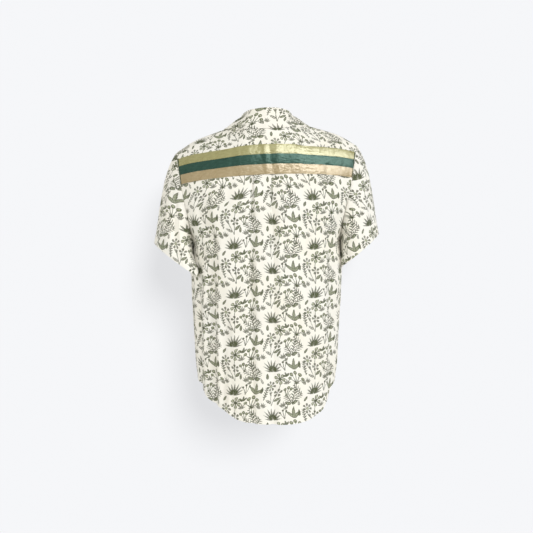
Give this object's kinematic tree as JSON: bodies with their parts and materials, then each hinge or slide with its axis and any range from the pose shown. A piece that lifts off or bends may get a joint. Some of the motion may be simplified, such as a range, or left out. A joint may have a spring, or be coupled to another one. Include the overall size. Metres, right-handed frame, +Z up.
{
  "type": "ribbon shirt",
  "caption": "Short-sleeved collared shirt, filled out as if worn, with satin ribbons side by side across the back yoke, a box pleat and a curved shirt-tail hem.",
  "frame": {"origin": "middle of the shoulder line at the height of the collar's base, where the wearer's neck and shoulders hold the shirt", "axes": "+Z up the standing wearer, +X to the wearer's right, the shirt's back faces -Y and its front +Y"},
  "size_m": [0.5798, 0.2729, 0.7702],
  "materials": {
    "printed_cloth": "matt plain weave, cream with a sage and dark green print",
    "olive_satin": "satin ribbon",
    "teal_satin": "satin ribbon",
    "tan_satin": "satin ribbon",
    "button": "semi-gloss"
  },
  "bodies": {
    "root": {"back": "printed_cloth", "yoke": "printed_cloth", "front_left": "printed_cloth", "front_right": "printed_cloth", "collar": "printed_cloth", "sleeve_left": "printed_cloth", "sleeve_right": "printed_cloth", "ribbon_olive": "olive_satin", "ribbon_teal": "teal_satin", "ribbon_tan": "tan_satin", "button_1": "button", "button_2": "button", "button_3": "button", "button_4": "button", "button_5": "button", "button_6": "button"}
  },
  "joints": []
}
